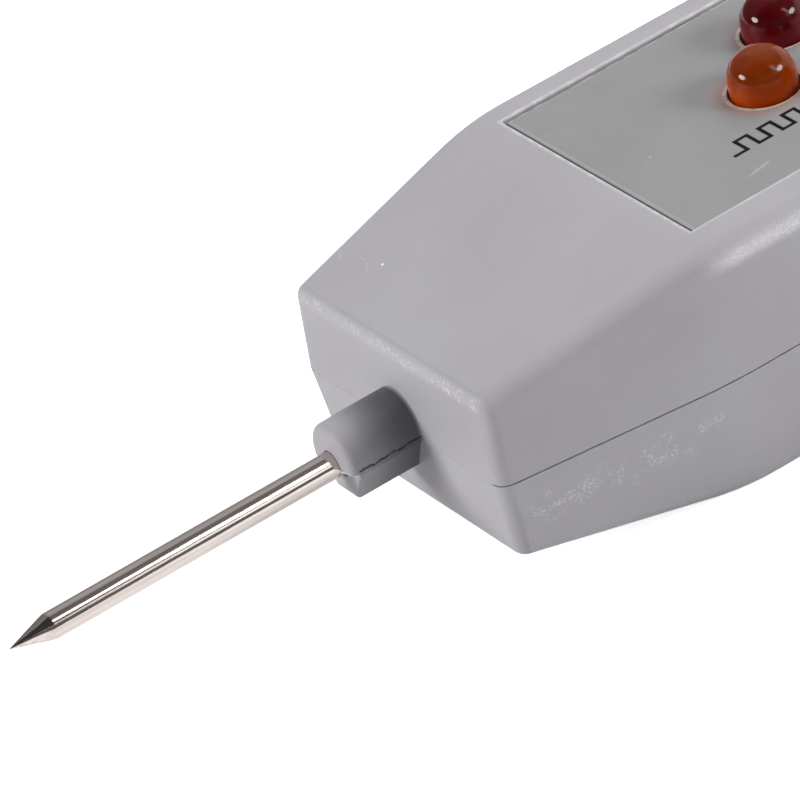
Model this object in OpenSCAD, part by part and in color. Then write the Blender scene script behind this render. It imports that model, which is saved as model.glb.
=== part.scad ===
// Hand-held logic probe: a two-shell moulded housing with a tapered nose and a split collar,
// a pointed contact pin, three indicator lamps, two slide switches and the circuit board inside.
// The probe lies on its flat underside: +Z is up, the pin points to -X, and the origin is at the
// middle of the overall length and width, on the bench.

/* [Housing] */
// Length of the moulded body, nose face to rear face
body_len = 152.3; // [142:0.1:190]
// Width of the body at the parting line
body_w = 29.5; // [28:0.5:34]
// Height of the lower shell, bench to parting line
lower_h = 9.5; // [9:0.1:11.5]
// Height of the upper shell, parting line to top face
upper_h = 10.5; // [10:0.1:12.5]
// Wall thickness of both shells
wall = 2; // [1.7:0.1:2.3]
// Rounding of the upper shell's edges
upper_edge_r = 1.6; // [1:0.1:2]
// Rounding of the lower shell's edges
lower_edge_r = 1.2; // [0.6:0.1:1.5]
// Draft angle of the upper shell's walls, degrees
upper_draft = 2; // [0.5:0.1:2.5]
// Draft angle of the lower shell's walls, degrees
lower_draft = 4; // [2:0.1:5]
// Open line between the shells on the outside
seam_gap = 0.12; // [0.05:0.01:0.3]
// Height of the locating lip inside the parting line
lip_h = 1.2; // [0.8:0.1:1.6]
// Thickness of the locating lip
lip_t = 0.8; // [0.6:0.05:0.9]

/* [Nose] */
// Length of the tapered nose, nose face to the bend
nose_len = 18.3; // [16:0.1:20]
// Width of the nose face at the parting line
nose_w = 24.5; // [22:0.1:26]
// Fall of the top face from the bend to the nose face
nose_fall = 3.5; // [2:0.1:4.5]
// Rise of the underside from the bend to the nose face
nose_rise = 2.8; // [2:0.1:4]
// Rounding of the edge between the nose face and the top, along the part
nose_edge_r = 0.8; // [0.4:0.1:1.2]
// Rounding of the upright edges beside the nose face
nose_corner_r = 1.2; // [0.8:0.1:1.6]
// Half length of the soft blend at the bend
bend_run = 2.4; // [1:0.1:4]

/* [Collar] */
// Length of the split collar in front of the nose face
collar_len = 5.9; // [4:0.1:8]
// Width of the collar at the parting line
collar_w = 5; // [4.4:0.1:5.6]
// Height of the straight sides under the collar's round top
collar_stilt = 0.6; // [0.2:0.05:1]
// Rounding of the collar's front rim
collar_rim_r = 0.6; // [0.3:0.1:0.8]
// Depth of the collar's lower tongue below the parting line
tongue_depth = 2.5; // [2:0.1:3]
// Width of the tongue's flat underside
tongue_foot_w = 2.6; // [2:0.1:3.4]
// Distance of the tongue's front behind the collar's mouth
tongue_setback = 0.6; // [0:0.1:0.9]
// Radius of the open groove that the tongue leaves round the pin
tongue_groove_r = 1.25; // [1.2:0.05:1.4]

/* [Contact pin] */
// Diameter of the pin
pin_d = 2.04; // [1.8:0.02:2.2]
// Reach of the pin's point in front of the nose face
tip_reach = 32.9; // [25:0.1:45]
// Length of the conical point
point_len = 3.3; // [2:0.1:6]
// Diameter of the pin's thicker tail behind the nose face
tail_d = 2.6; // [2.4:0.05:3]
// Height of the pin's axis above the parting line
pin_rise = 0.2; // [0:0.05:0.4]
// Length of the grip that clamps the pin behind the nose face
grip_len = 6; // [4:0.5:8]
// Length of the clip that takes the pin's tail on the board
clip_len = 3; // [2:0.5:4]

/* [Panel] */
// Distance from the nose face to the panel's front edge
panel_setback = 19.5; // [18:0.1:24]
// Width of the panel
panel_w = 22.3; // [20:0.1:24]
// Thickness of the panel
panel_t = 0.35; // [0.2:0.05:0.5]
// Depth of the panel's face below the top face
panel_sink = 0.25; // [0.1:0.05:0.4]
// Gap round the panel in its pocket
panel_gap = 0.15; // [0.05:0.05:0.3]
// Plain top face left behind the panel
panel_tail = 14; // [10:1:20]

/* [Indicator lamps] */
// Diameter of a lamp's lens
lamp_d = 5; // [4.6:0.1:5.2]
// Diameter of the rim at the foot of a lamp
lamp_rim_d = 5.8; // [5.6:0.1:6.4]
// Squareness of a lamp's dome: 2 is a half ball
dome_square = 2.5; // [2:0.1:3]
// Height of a lamp, foot to top of the dome
lamp_h = 8.6; // [8:0.1:9.4]
// Height of the dome above the panel
lamp_proud = 3.1; // [2.6:0.1:3.6]
// Clearance of a lamp in its hole
lamp_clear = 0.2; // [0.1:0.05:0.4]
// Distance from the panel's front edge to the front lamp
front_lamp_x = 14.3; // [12:0.1:18]
// Sideways place of the front lamp, from the panel's middle line
front_lamp_y = -0.5; // [-1:0.1:1]
// Distance from the front lamp back to the pair of lamps
pair_step = 5.2; // [4.6:0.1:8]
// Sideways distance of each lamp of the pair
pair_y = 5.4; // [5:0.1:6.5]

/* [Slide switches] */
// Clear length of board in front of the switches
switch_gap = 7.7; // [4:0.1:12]
// Sideways distance of each switch from the middle
switch_y = 5.6; // [4.5:0.1:6.5]
// Travel of a slider between its two ends
slider_travel = 2; // [1.5:0.1:2.5]
// Length of a slider's knob along the travel
knob_len = 3.6; // [3:0.1:4.2]
// Width of a slider's knob
knob_w = 2.6; // [2:0.1:3]
// Height of a knob above the panel
knob_proud = 1.8; // [1:0.1:3]
// Clearance of a knob in its slot
knob_clear = 0.4; // [0.25:0.05:0.6]

/* [Circuit board] */
// Thickness of the board
board_t = 1.6; // [1:0.1:1.6]
// Depth of the board's upper face below the parting line
board_drop = 1.9; // [1.6:0.1:2.4]
// Clearance of the board to the walls
board_clear = 0.4; // [0.3:0.05:0.8]
// Gap between the pin's grip and the board's front edge
board_gap = 1.5; // [1:0.1:3]
// Distance from the board's rear edge to the rear face
board_tail = 17; // [15:0.5:22]

/* [Screws] */
// Diameter of a screw's thread
screw_d = 2.4; // [2:0.1:2.6]
// Diameter of a screw's head
screw_head_d = 4.8; // [4:0.1:5]
// Height of a screw's head
screw_head_h = 1.8; // [1.4:0.1:2.2]
// Length of a screw under its head
screw_len = 12; // [9:0.5:13]
// Outer diameter of the pillars that the screws go into
pillar_d = 6; // [5.6:0.1:6.4]
// Gap between the front pillar and the front lamp
pillar_gap = 1.9; // [1:0.1:3]
// Distance from the rear face to the rear screws
rear_screw = 8.5; // [7:0.5:10]
// Sideways distance of each rear screw
rear_screw_y = 8.2; // [8:0.1:9]

/* [Cord gland] */
// Bore of the gland
gland_bore = 4.2; // [3:0.1:5]
// Diameter of the gland's waist in the rear wall
gland_waist_d = 7; // [6.4:0.1:7.6]
// Diameter of the gland's two flanges
gland_flange_d = 9.4; // [8.8:0.1:10]
// Thickness of the flange outside the rear face
gland_lip = 1.4; // [1:0.1:2]

/* [Hidden] */

$fn = 48;
// Facets round each ball and disc of the housing's hulls
hull_fn = 32;
// Steps from the side of a lamp's dome to its top
dome_steps = 12;
// Clearance all round in a close round fit
fit = 0.05;
// Clearance on each side of a sliding or locating fit
seat = 0.1;
// Distance that a cutting shape runs past what it cuts
over = 1;

// Lengths along the part and heights above the bench
x_nose = tip_reach - (tip_reach + body_len + gland_lip) / 2;
x_rear = x_nose + body_len;
x_collar = x_nose - collar_len;
z_part = lower_h;
z_seam = z_part + seam_gap;
z_top = lower_h + upper_h;
z_ceiling = z_top - wall;
z_pin = z_part + pin_rise;
z_panel = z_top - panel_sink;
z_pocket = z_panel - panel_t;
z_board = z_part - board_drop;
z_joint = z_board - board_t;
pin_r = pin_d / 2;
tail_r = tail_d / 2;

// Bend of the nose: stations along the body, measured from the nose face
bend_steps = 4;
bend_end = nose_len + bend_run;
stations = [0, for (i = [0 : bend_steps]) nose_len + bend_run * (2 * i / bend_steps - 1), body_len];

// Amount by which a face has come in at station s, for a face that comes in by "fall" at the nose
function taper(s, fall) =
    s >= bend_end ? 0
    : s <= nose_len - bend_run ? fall * (nose_len - s) / nose_len
    : fall * pow(bend_end - s, 2) / (4 * bend_run * nose_len);
function half_w(s) = body_w / 2 - taper(s, (body_w - nose_w) / 2);

// Half the width of the board at station s
function half_board(s) = half_w(s) - wall - (board_drop + board_t) * tan(lower_draft) - board_clear;

// Pin and board, measured from the nose face
grip_side = 2.5;
grip_end = wall + grip_len;
board_front = grip_end + board_gap;
board_end = body_len - board_tail;
tail_end = 0.5;
pin_tail = board_front + clip_len + tail_end;

// Lamps
panel_x = x_nose + panel_setback;
panel_len = body_len - panel_setback - panel_tail;
front_lamp_at = [panel_x + front_lamp_x, front_lamp_y];
far_lamp_at = front_lamp_at + [pair_step, pair_y];
near_lamp_at = front_lamp_at + [pair_step, -pair_y];
lamps_at = [front_lamp_at, far_lamp_at, near_lamp_at];
lamp_hole_d = lamp_d + 2 * lamp_clear;
lamp_rim_h = 1;
lamp_foot = [[0, 0], [lamp_rim_d / 2, 0], [lamp_rim_d / 2, lamp_rim_h], [lamp_d / 2, lamp_rim_h]];
lamp_dome = [for (i = [0 : dome_steps]) let (a = 90 * i / dome_steps)
    [lamp_d / 2 * pow(cos(a), 2 / dome_square),
     lamp_h - lamp_d / 2 * (1 - pow(sin(a), 2 / dome_square))]];
z_lamp = z_panel + lamp_proud - lamp_h;
lead_pitch = 2.54;
lead_w = 0.5;

// Slide switch: a folded steel can with a window on top, standing on its terminals
can_t = 0.5;
can_h = 6.2;
can_gap = 0.3;
slider_flange = 1.2;
slider_ledge = 0.5;
slider_h = 2;
slider_len = knob_len + 2 * slider_flange;
slider_w = knob_w + 2 * slider_ledge;
slot_len = knob_len + slider_travel + 2 * knob_clear;
slot_w = knob_w + 2 * knob_clear;
can_len = slider_len + slider_travel + 2 * (seat + can_t);
can_w = slider_w + 2 * (seat + can_t);
z_can_top = z_ceiling - can_gap;
z_can = z_can_top - can_h;
z_slider = z_can_top - can_t - slider_h - seat;

// Components on the board
chip_w = 6.4;
chip_t = 3.3;
chip_lift = 0.6;
chip_row = 3.81;
pin_pitch = 2.54;
pin_w = 0.5;
pin_t = 0.3;
comparator_pins = 4;
logic_pins = 7;
function chip_len(pins) = pins * pin_pitch - 2 * pin_t;
wire_r = 0.3;
resistor_d = 1.9;
resistor_len = 3.4;
resistor_pitch = 5.4;
resistor_step = 8;
diode_d = 1.8;
diode_len = 3;
diode_pitch = 5;
driver_r = 2.3;
driver_flat = 1.4;
driver_lift = 2;
driver_lead_pitch = 1.27;
capacitor_r = 2.5;
capacitor_h = 8;
post_r = 1.2;
post_h = 3.4;

// Board layout: the components follow each other back from the pair of lamps
part_gap = 1.2;
board_edge = half_board(body_len);
driver_x = front_lamp_at[0] + pair_step + lamp_rim_d / 2 + part_gap + driver_r;
comparator_x = driver_x + driver_flat + part_gap + chip_len(comparator_pins) / 2;
switch_x = comparator_x + chip_len(comparator_pins) / 2 + switch_gap + can_len / 2;
logic_x = switch_x + can_len / 2 + 5 * part_gap + chip_len(logic_pins) / 2;
capacitor_x = logic_x + chip_len(logic_pins) / 2 + 3 * part_gap + capacitor_r;
drivers_at = [for (y = [-1 : 1]) [driver_x, y * (board_edge - driver_r - part_gap)]];
comparator_at = [comparator_x, 0];
logic_at = [logic_x, 0];
diodes_at = [for (y = [-1, 1]) [comparator_x, y * (board_edge - diode_pitch / 2 - part_gap)]];
resistors_at = [for (i = [-1 : 1], y = [-1, 1])
    [logic_x + i * resistor_step, y * (board_edge - resistor_pitch / 2)]];
capacitor_at = [capacitor_x, part_gap + capacitor_r];
posts_at = [for (y = [-1, 1]) [x_nose + board_end - 3 * post_r, y * 4 * post_r]];
range_switch_at = [switch_x, -switch_y];
memory_switch_at = [switch_x, switch_y];
switches_at = [range_switch_at, memory_switch_at];

// Screws, the bosses they sit in and the ribs that carry the board
screw_sink = 0.6;
head_clear = 0.3;
boss_wall = 1.2;
boss_d = screw_head_d + 2 * (head_clear + boss_wall);
z_shoulder = screw_sink + screw_head_h;
front_screw_x = front_lamp_at[0] - lamp_rim_d / 2 - pillar_gap - pillar_d / 2;
screws_at = [[front_screw_x, 0], for (y = [-1, 1]) [x_rear - rear_screw, y * rear_screw_y]];
rib_t = 1.5;
rib_count = 4;
rib_step = (x_nose + board_end - front_screw_x) / (rib_count + 0.5);
ribs_x = [for (i = [1 : rib_count]) front_screw_x + i * rib_step];

// Depth of the gland's seat, which evens out the draft of the rear face
gland_seat = gland_flange_d / 2 * tan(max(upper_draft, lower_draft)) + fit;

shell_grey = "#afaeb2";
panel_grey = "#9d9c9b";
steel = "#c9c4bf";
tin = "#b8b8b8";

// Shapes that repeat

module at(p, z = 0) { translate([p[0], p[1], z]) children(); }

// Ball with its poles on the axis, so that a hull of balls reaches its full size
module ball(r) {
    rotate_extrude($fn = hull_fn) intersection() {
        circle(r, $fn = hull_fn);
        translate([0, -r]) square([r, 2 * r]);
    }
}

// One drafted half of the housing, standing on the parting plane, with all faces moved in by inset.
// "below" lets a cutting copy run past the parting plane.
module half_form(inset, height, fall, draft, edge_r, front_r, below) {
    least_r = 0.4;
    skin = 0.01;
    rim = max(upper_edge_r - inset, least_r);
    edge = max(edge_r - inset, least_r);
    front = max(front_r - inset, least_r);
    corner = max(nose_corner_r - inset, least_r);
    hull() for (s = stations, side = [-1, 1]) {
        rise = height - taper(s, fall);
        lean = rise * tan(draft);
        upright = s > 0 ? rim : corner;
        edge_run = s > 0 ? edge : front;
        translate([x_nose + min(max(s, inset + upright), body_len - inset - upright),
                   side * (half_w(s) - inset - upright), -below])
            cylinder(r = upright, h = below + skin, $fn = hull_fn);
        translate([x_nose + min(max(s, inset + edge_run + lean), body_len - inset - edge - lean),
                   side * (half_w(s) - inset - edge - lean), rise - inset - edge])
            scale([edge_run / edge, 1, 1]) ball(edge);
    }
}

module upper_form(inset, below = 0) {
    translate([0, 0, z_seam])
        half_form(inset, z_top - z_seam, nose_fall, upper_draft, upper_edge_r, nose_edge_r, below);
}

module lower_form(inset, below = 0) {
    translate([0, 0, z_part]) mirror([0, 0, 1])
        half_form(inset, lower_h, nose_rise, lower_draft, lower_edge_r, lower_edge_r, below);
}

// Slab across the whole part between two heights
module slab(z0, z1) {
    translate([x_nose - tip_reach, -body_w, z0]) cube([2 * body_len, 2 * body_w, z1 - z0]);
}

// Round hole along X
module bore(x0, x1, z, r) { translate([x0, 0, z]) rotate([0, 90, 0]) cylinder(r = r, h = x1 - x0); }

// Bar of square or flat section standing on the board
module leg(p, w, t, z_end) { at(p, z_board) translate([-w / 2, -t / 2, 0]) cube([w, t, z_end - z_board]); }

// Axial component lying across the board with its leads bent down
module axial(p, d, len, pitch) {
    cap = len / 4;
    waist_r = 0.4 * d;
    at(p, z_board + wire_r + d / 2) rotate([90, 0, 0]) {
        rotate_extrude() {
            translate([0, -len / 2]) square([waist_r, len]);
            for (y = [-len / 2, len / 2 - cap]) translate([0, y]) square([d / 2, cap]);
        }
        translate([0, 0, -pitch / 2]) cylinder(r = wire_r, h = pitch);
    }
    for (end = [-1, 1]) at(p + [0, end * (pitch / 2 - wire_r)], z_board)
        cylinder(r = wire_r, h = wire_r + d / 2);
}

// Housing

// Half the plan of the collar: width along X, length along Y, with the rounded front rim
module collar_plan() {
    collar_reach = collar_len + wall / 2;
    square([collar_w / 2 - collar_rim_r, collar_reach]);
    translate([0, collar_rim_r]) square([collar_w / 2, collar_reach - collar_rim_r]);
    translate([collar_w / 2 - collar_rim_r, collar_rim_r]) circle(collar_rim_r);
}

module collar_arch() {
    translate([x_collar, 0, z_seam]) {
        linear_extrude(collar_stilt) {
            rotate(-90) collar_plan();
            mirror([0, 1]) rotate(-90) collar_plan();
        }
        translate([0, 0, collar_stilt]) intersection() {
            rotate([0, 90, 0]) rotate_extrude() collar_plan();
            translate([-over, -collar_w, 0]) cube([collar_len + wall + over, 2 * collar_w, collar_w]);
        }
    }
}

module collar_tongue() {
    translate([x_collar + tongue_setback, 0, z_part]) rotate([90, 0, 90])
        linear_extrude(collar_len + wall / 2 - tongue_setback)
        polygon([[-collar_w / 2, 0], [collar_w / 2, 0],
                 [tongue_foot_w / 2, -tongue_depth], [-tongue_foot_w / 2, -tongue_depth]]);
}

// Block behind the nose face that clamps the pin between the two shells
module pin_grip() {
    grip_w = tail_d + 2 * grip_side;
    translate([x_nose + wall / 2, -grip_w / 2, 0]) cube([grip_end - wall / 2, grip_w, z_top]);
}

// Room for the pin's tail, from the middle of the nose wall to the end of the grip
module tail_room() {
    bore(x_nose + wall / 2, x_nose + grip_end + over, z_pin, tail_r + fit);
}

// Hole for the gland, with a flat seat for a flange on each side of the drafted wall
module gland_hole() {
    bore(x_rear - 2 * wall, x_rear + over, z_part, gland_waist_d / 2 + fit);
    bore(x_rear - gland_seat, x_rear + over, z_part, gland_flange_d / 2 + seat);
    bore(x_rear - wall - gland_lip - over, x_rear - wall, z_part, gland_flange_d / 2 + seat);
}

module upper_shell() {
    color(shell_grey) difference() {
        union() {
            difference() {
                upper_form(0);
                upper_form(wall, over);
                intersection() {
                    upper_form(wall - lip_t - seat, over);
                    slab(z_part - over, z_part + lip_h + seat);
                }
            }
            collar_arch();
            intersection() {
                upper_form(wall / 2);
                pin_grip();
            }
            for (p = screws_at) at(p, z_joint) cylinder(d = pillar_d, h = z_ceiling - z_joint + wall / 4);
        }
        translate([panel_x - panel_gap, -panel_w / 2 - panel_gap, z_pocket])
            cube([panel_len + 2 * panel_gap, panel_w + 2 * panel_gap, panel_t + panel_sink + over]);
        for (p = lamps_at) at(p, z_ceiling - over) cylinder(d = lamp_hole_d, h = wall + 2 * over);
        for (p = switches_at) at(p, z_ceiling - over) translate([-slot_len / 2, -slot_w / 2, 0])
            cube([slot_len, slot_w, wall + 2 * over]);
        for (p = screws_at) at(p, z_shoulder) cylinder(d = screw_d + 2 * fit, h = screw_len + over);
        bore(x_collar - over, x_nose + wall, z_pin, pin_r + fit);
        tail_room();
        gland_hole();
    }
}

module lower_shell() {
    color(shell_grey) difference() {
        union() {
            difference() {
                lower_form(0);
                lower_form(wall, over);
            }
            difference() {
                intersection() {
                    upper_form(wall - lip_t, over);
                    slab(z_part - over, z_part + lip_h);
                }
                upper_form(wall, 2 * over);
                pin_grip();
            }
            collar_tongue();
            intersection() {
                lower_form(wall / 2);
                union() {
                    pin_grip();
                    for (p = screws_at) at(p) cylinder(d = boss_d, h = z_joint);
                    for (x = ribs_x) translate([x - rib_t / 2, -body_w / 2, 0])
                        cube([rib_t, body_w, z_joint]);
                }
            }
        }
        for (p = screws_at) at(p, -over) {
            cylinder(d = screw_d + 2 * seat, h = z_part);
            cylinder(d = screw_head_d + 2 * head_clear, h = over + z_shoulder);
        }
        bore(x_collar - over, x_nose + wall / 2, z_pin, tongue_groove_r);
        tail_room();
        gland_hole();
    }
}

module panel() {
    color(panel_grey) difference() {
        translate([panel_x, -panel_w / 2, z_pocket]) cube([panel_len, panel_w, panel_t]);
        for (p = lamps_at) at(p, z_pocket - over) cylinder(d = lamp_hole_d, h = panel_t + 2 * over);
        for (p = switches_at) at(p, z_pocket - over) translate([-slot_len / 2, -slot_w / 2, 0])
            cube([slot_len, slot_w, panel_t + 2 * over]);
    }
}

// Contact

// Turned pin: a pointed shank, a groove just inside the collar's mouth, and a thicker tail behind
// the nose wall that keeps the pin from being drawn out
module contact_pin() {
    groove_r = 0.75 * pin_r;
    groove_len = 0.5;
    mouth = tip_reach - collar_len;
    shoulder = tip_reach + wall / 2 + fit;
    end = tip_reach + pin_tail;
    color(steel) translate([x_nose - tip_reach, 0, z_pin]) rotate([0, 90, 0]) rotate_extrude()
        polygon([[0, 0], [pin_r, point_len], [pin_r, mouth], [groove_r, mouth],
                 [groove_r, mouth + groove_len], [pin_r, mouth + groove_len],
                 [pin_r, shoulder], [tail_r, shoulder], [tail_r, end], [0, end]]);
}

// Brass clip on the board that takes the pin's tail
module pin_clip() {
    clip_t = 0.6;
    clip_x = x_nose + board_front;
    color("#b5964a") difference() {
        union() {
            bore(clip_x, clip_x + clip_len, z_pin, tail_r + fit + clip_t);
            translate([clip_x, -tail_r, z_board]) cube([clip_len, tail_d, z_pin - z_board]);
        }
        bore(clip_x - over, clip_x + clip_len + over, z_pin, tail_r + fit);
    }
}

// Indicator lamps

module lamp(p, tint) {
    color(tint) at(p, z_lamp) difference() {
        rotate_extrude() polygon(concat(lamp_foot, lamp_dome));
        translate([lamp_d / 2, -lamp_rim_d / 2, -over]) cube([over, lamp_rim_d, over + lamp_rim_h + fit]);
    }
}

module front_lamp() { lamp(front_lamp_at, "#b4520f"); }
module far_lamp() { lamp(far_lamp_at, "#5a0a14"); }
module near_lamp() { lamp(near_lamp_at, "#1d5a24"); }

module lamp_leads() {
    color(tin) for (p = lamps_at, side = [-1, 1])
        leg(p + [side * lead_pitch / 2, 0], lead_w, lead_w, z_lamp);
}

// Circuit board and what it carries

module circuit_board() {
    outline = [for (s = [board_front, bend_end, board_end]) [x_nose + s, half_board(s)]];
    color("#2f6b3c") difference() {
        translate([0, 0, z_joint]) linear_extrude(board_t)
            polygon(concat(outline, [for (i = [2 : -1 : 0]) [outline[i][0], -outline[i][1]]]));
        at(screws_at[0], z_joint - over) cylinder(d = pillar_d + 2 * board_clear, h = board_t + 2 * over);
    }
}

module chip(p, pins) {
    len = chip_len(pins);
    notch_r = 0.8;
    color("#26262a") at(p, z_board + chip_lift) difference() {
        translate([-len / 2, -chip_w / 2, 0]) cube([len, chip_w, chip_t]);
        translate([-len / 2, 0, chip_t - notch_r / 2]) cylinder(r = notch_r, h = over);
    }
}

module comparator_chip() { chip(comparator_at, comparator_pins); }
module logic_chip() { chip(logic_at, logic_pins); }

module chip_pins() {
    shoulder = chip_lift + chip_t / 2;
    color(tin) for (c = [[comparator_at, comparator_pins], [logic_at, logic_pins]], side = [-1, 1],
                    i = [0 : c[1] - 1]) {
        p = c[0] + [(i - (c[1] - 1) / 2) * pin_pitch, side * chip_row];
        leg(p, pin_w, pin_t, z_board + shoulder);
        at(c[0] + [p[0] - c[0][0], 0], z_board + shoulder - pin_t) mirror([0, side < 0 ? 1 : 0, 0])
            translate([-pin_w / 2, chip_w / 2, 0]) cube([pin_w, chip_row + pin_t / 2 - chip_w / 2, pin_t]);
    }
}

module switch_can(p) {
    room = slider_h + 2 * seat;
    color(tin) {
        at(p) difference() {
            translate([-can_len / 2, -can_w / 2, z_can]) cube([can_len, can_w, can_h]);
            translate([-can_len / 2 + can_t, -can_w / 2 + can_t, z_can_top - can_t - room])
                cube([can_len - 2 * can_t, can_w - 2 * can_t, room]);
            translate([-slot_len / 2, -slot_w / 2, z_can_top - can_t - over])
                cube([slot_len, slot_w, 2 * over + can_t]);
        }
        for (i = [-1 : 1]) leg(p + [i * can_len / 4, 0], lead_w, 3 * lead_w, z_can + can_t);
    }
}

// Slider at the front end of its travel, with a ridged knob
module slider(p) {
    z_knob = z_panel + knob_proud;
    ridges = 4;
    ridge = knob_len / (2 * ridges - 1);
    color("#222226") at(p - [slider_travel / 2, 0]) difference() {
        union() {
            translate([-slider_len / 2, -slider_w / 2, z_slider]) cube([slider_len, slider_w, slider_h]);
            translate([-knob_len / 2, -knob_w / 2, z_slider]) cube([knob_len, knob_w, z_knob - z_slider]);
        }
        for (i = [1 : ridges - 1])
            translate([-knob_len / 2 + (2 * i - 1) * ridge, -knob_w, z_knob - ridge])
                cube([ridge, 2 * knob_w, 2 * ridge]);
    }
}

module range_switch() { switch_can(range_switch_at); }
module range_slider() { slider(range_switch_at); }
module memory_switch() { switch_can(memory_switch_at); }
module memory_slider() { slider(memory_switch_at); }

module resistors() {
    color("#c9a878") for (p = resistors_at) axial(p, resistor_d, resistor_len, resistor_pitch);
}

module input_diodes() {
    color("#b2603a") for (p = diodes_at) axial(p, diode_d, diode_len, diode_pitch);
}

// Electrolytic can with its crimped groove and recessed top
module memory_capacitor() {
    crimp = 0.4;
    crimp_z = 2 * crimp;
    color("#1f2d4a") at(capacitor_at, z_board) rotate_extrude() difference() {
        square([capacitor_r, capacitor_h]);
        translate([capacitor_r, crimp_z + crimp]) circle(r = crimp);
        translate([-over, capacitor_h - crimp / 2]) square([over + capacitor_r - crimp, crimp]);
    }
}

// Small transistors that drive the lamps, each a drum with a flat, raised on its leads
module lamp_drivers() {
    color("#2b2b2f") for (p = drivers_at) {
        at(p, z_board + driver_lift) intersection() {
            cylinder(r = driver_r, h = 2 * driver_r);
            translate([-driver_r, -driver_r, 0]) cube([driver_r + driver_flat, 2 * driver_r, 2 * driver_r]);
        }
        for (i = [-1 : 1])
            leg(p + [0, i * driver_lead_pitch], lead_w, lead_w, z_board + driver_lift + lead_w);
    }
}

// Turned posts that the supply cord's wires are soldered to
module supply_posts() {
    neck_r = post_r / 2;
    flange_h = post_r / 2;
    color(tin) for (p = posts_at) at(p, z_board) {
        cylinder(r = post_r, h = flange_h);
        cylinder(r = neck_r, h = post_h);
        translate([0, 0, post_h - flange_h]) cylinder(r = 1.5 * neck_r, h = flange_h);
    }
}

// Fixings

module case_screws() {
    slot_t = 0.7;
    slot_span = 0.7 * screw_head_d;
    color(steel) for (p = screws_at) at(p, z_shoulder) difference() {
        union() {
            translate([0, 0, -screw_head_h]) cylinder(d = screw_head_d, h = screw_head_h);
            cylinder(d = screw_d, h = screw_len);
        }
        for (turn = [0, 90]) rotate(turn) translate([-slot_span / 2, -slot_t / 2, -screw_head_h - over])
            cube([slot_span, slot_t, over + screw_head_h / 2]);
    }
}

// Grommet in the rear wall that the supply cord passes through
module cord_gland() {
    waist = gland_waist_d / 2;
    flange = gland_flange_d / 2;
    inner = -wall - fit;
    outer = fit - gland_seat;
    color("#2a2a2c") translate([x_rear, 0, z_part]) rotate([0, 90, 0]) rotate_extrude()
        polygon([[gland_bore / 2, inner - gland_lip], [flange, inner - gland_lip], [flange, inner],
                 [waist, inner], [waist, outer], [flange, outer], [flange, gland_lip],
                 [gland_bore / 2, gland_lip]]);
}

upper_shell();
lower_shell();
panel();
contact_pin();
pin_clip();
circuit_board();
front_lamp();
far_lamp();
near_lamp();
lamp_leads();
comparator_chip();
logic_chip();
chip_pins();
range_switch();
range_slider();
memory_switch();
memory_slider();
resistors();
input_diodes();
memory_capacitor();
lamp_drivers();
supply_posts();
case_screws();
cord_gland();
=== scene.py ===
import math
import random
import bmesh
import bpy
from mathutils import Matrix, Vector


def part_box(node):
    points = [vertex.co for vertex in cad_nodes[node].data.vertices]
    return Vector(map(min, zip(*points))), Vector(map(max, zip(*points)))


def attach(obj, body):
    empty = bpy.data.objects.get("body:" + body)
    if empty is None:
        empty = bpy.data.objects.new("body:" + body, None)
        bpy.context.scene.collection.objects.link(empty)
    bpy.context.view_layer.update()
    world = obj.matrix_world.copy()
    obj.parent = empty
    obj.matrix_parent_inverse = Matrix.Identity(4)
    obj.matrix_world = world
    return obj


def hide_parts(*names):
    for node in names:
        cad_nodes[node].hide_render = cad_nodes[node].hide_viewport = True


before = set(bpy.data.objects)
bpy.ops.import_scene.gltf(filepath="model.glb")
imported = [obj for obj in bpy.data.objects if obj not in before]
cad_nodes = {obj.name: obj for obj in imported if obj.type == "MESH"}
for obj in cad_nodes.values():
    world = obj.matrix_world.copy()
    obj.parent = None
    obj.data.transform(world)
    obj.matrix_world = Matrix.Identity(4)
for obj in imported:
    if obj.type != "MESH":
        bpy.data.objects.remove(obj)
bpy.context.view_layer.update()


def colour(hex_code):
    parts = [int(hex_code[i:i + 2], 16) / 255 for i in (0, 2, 4)]
    linear = [c / 12.92 if c <= 0.04045 else ((c + 0.055) / 1.055) ** 2.4 for c in parts]
    return (*linear, 1.0)


def object_place(tree):
    return tree.nodes.new("ShaderNodeTexCoord").outputs["Object"]


def new_material(name, roughness, metallic=0.0):
    material = bpy.data.materials.new(name)
    material.use_nodes = True
    tree = material.node_tree
    shader = tree.nodes["Principled BSDF"]
    shader.inputs["Roughness"].default_value = roughness
    shader.inputs["Metallic"].default_value = metallic
    return material, tree, shader, object_place(tree)


def paint(piece, material):
    piece.data.materials.clear()
    piece.data.materials.append(material)


board_lacquer, tree, shader, place = new_material("board_lacquer", roughness=0.35)
weave = tree.nodes.new("ShaderNodeTexBrick")
weave.inputs["Scale"].default_value = 120.0
for socket_name, shade in (("Color1", "2f6b3c"), ("Color2", "35744a"), ("Mortar", "3f8052")):
    weave.inputs[socket_name].default_value = colour(shade)
tree.links.new(place, weave.inputs["Vector"])
tree.links.new(weave.outputs["Color"], shader.inputs["Base Color"])
paint(cad_nodes["circuit_board"], board_lacquer)

# Parts on the board
# Two chips on tinned pins, resistors and diodes with bent wires, a sleeved capacitor, the lamp
# drivers and the posts for the supply wires, all soldered to the board.
MM = 0.001


def feed(tree, socket, value):
    if isinstance(value, bpy.types.NodeSocket):
        tree.links.new(value, socket)
    else:
        socket.default_value = value


def mix_colour(tree, factor, first, second):
    node = tree.nodes.new("ShaderNodeMix")
    node.data_type = "RGBA"
    for name, value in (("Factor", factor), ("A", first), ("B", second)):
        feed(tree, [s for s in node.inputs if s.name == name and s.enabled][0], value)
    return [s for s in node.outputs if s.enabled][0]


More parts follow.
